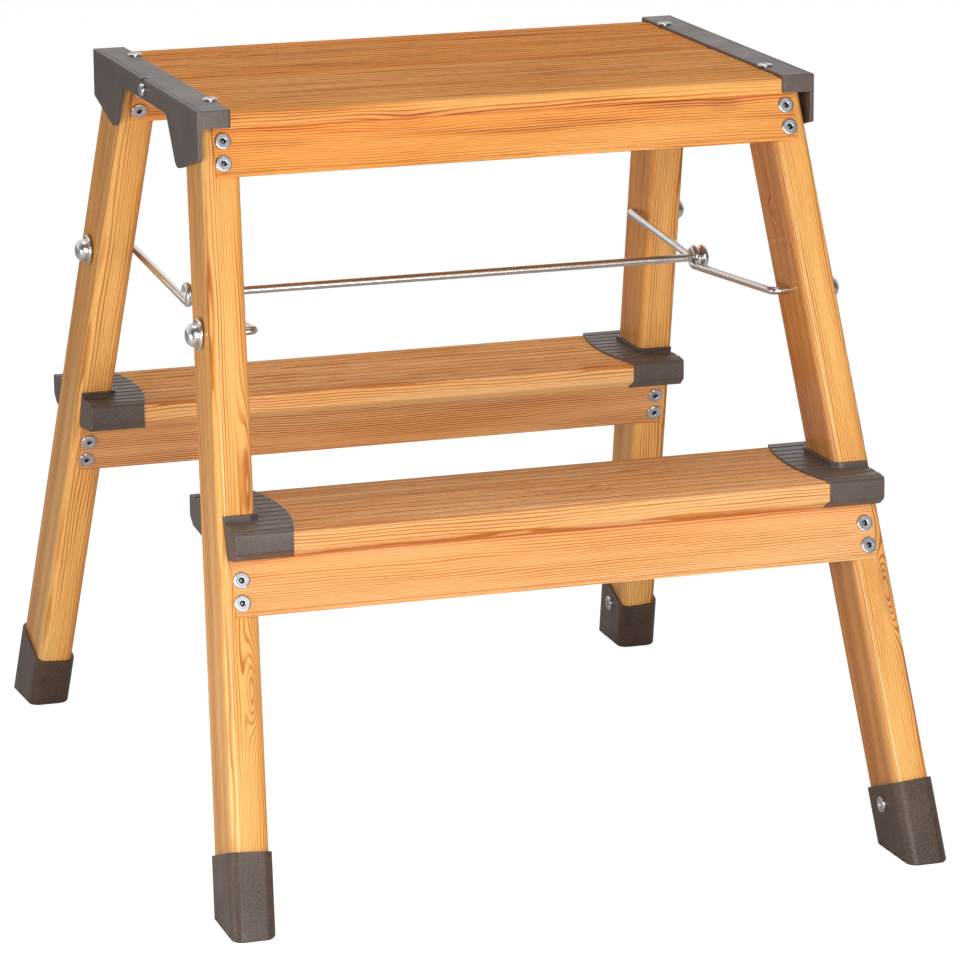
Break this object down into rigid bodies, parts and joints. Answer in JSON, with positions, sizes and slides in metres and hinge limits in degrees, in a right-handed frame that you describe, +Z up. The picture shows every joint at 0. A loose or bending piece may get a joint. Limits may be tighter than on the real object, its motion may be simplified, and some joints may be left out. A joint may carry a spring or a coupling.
{
  "type": "folding step stool",
  "caption": "Folding double-sided step stool: ribbed platform halves hinged at the top, a lower step on each side, splayed tube legs with boots, and a jointed wire brace.",
  "frame": {"origin": "on the floor, midway between the four feet", "axes": "+Z up, +Y from the front step to the rear step, +X along the hinge line to the right"},
  "size_m": [0.4398, 0.5492, 0.4514],
  "materials": {
    "pine_film": "satin film with an orange pine grain over aluminium extrusion",
    "brown_plastic": "matte dark grey-brown moulded plastic with a fine pebble",
    "plug_plastic": "plain black moulded plastic, hidden in the leg",
    "bright_wire": "bright plated steel wire and domed nuts",
    "zinc": "bright zinc-plated rivets and screws"
  },
  "bodies": {
    "front_frame": {"front_cap_screws": "zinc", "front_foot_screws": "zinc", "front_left_foot": "brown_plastic", "front_left_hinge_cap": "brown_plastic", "front_left_leg": "pine_film", "front_left_leg_plug": "plug_plastic", "front_left_step_cap": "brown_plastic", "front_platform": "pine_film", "front_platform_rivets": "zinc", "front_right_foot": "brown_plastic", "front_right_hinge_cap": "brown_plastic", "front_right_leg": "pine_film", "front_right_leg_plug": "plug_plastic", "front_right_step_cap": "brown_plastic", "front_step": "pine_film", "front_step_rivets": "zinc", "left_pivot_nut": "zinc", "left_pivot_screw": "zinc", "right_pivot_nut": "zinc", "right_pivot_screw": "zinc"},
    "rear_frame": {"rear_cap_screws": "zinc", "rear_foot_screws": "zinc", "rear_left_foot": "brown_plastic", "rear_left_hinge_cap": "brown_plastic", "rear_left_leg": "pine_film", "rear_left_leg_plug": "plug_plastic", "rear_left_step_cap": "brown_plastic", "rear_platform": "pine_film", "rear_platform_rivets": "zinc", "rear_right_foot": "brown_plastic", "rear_right_hinge_cap": "brown_plastic", "rear_right_leg": "pine_film", "rear_right_leg_plug": "plug_plastic", "rear_right_step_cap": "brown_plastic", "rear_step": "pine_film", "rear_step_rivets": "zinc"},
    "front_brace": {"brace_rod": "bright_wire", "front_left_arm": "bright_wire", "front_left_dome_cap": "bright_wire", "front_right_arm": "bright_wire", "front_right_dome_cap": "bright_wire"},
    "rear_brace": {"rear_left_arm": "bright_wire", "rear_left_dome_cap": "bright_wire", "rear_right_arm": "bright_wire", "rear_right_dome_cap": "bright_wire"}
  },
  "joints": [
    {"name": "fold", "type": "hinge", "parent": "front_frame", "child": "rear_frame", "pos_m": [0, 0, 0.4435], "axis": [-1, 0, 0], "range_deg": [0, 52]},
    {"name": "front_brace_lift", "type": "hinge", "parent": "front_frame", "child": "front_brace", "pos_m": [0, -0.13225, 0.3215], "axis": [1, 0, 0], "range_deg": [0, 36.4]},
    {"name": "rear_brace_lift", "type": "hinge", "parent": "rear_frame", "child": "rear_brace", "pos_m": [0, 0.13225, 0.3215], "axis": [-1, 0, 0], "range_deg": [0, 36.4]}
  ],
  "couplings": [
    {"joint": "front_brace_lift", "follows": "fold", "ratio": 0.6987},
    {"joint": "rear_brace_lift", "follows": "fold", "ratio": 0.6987}
  ]
}
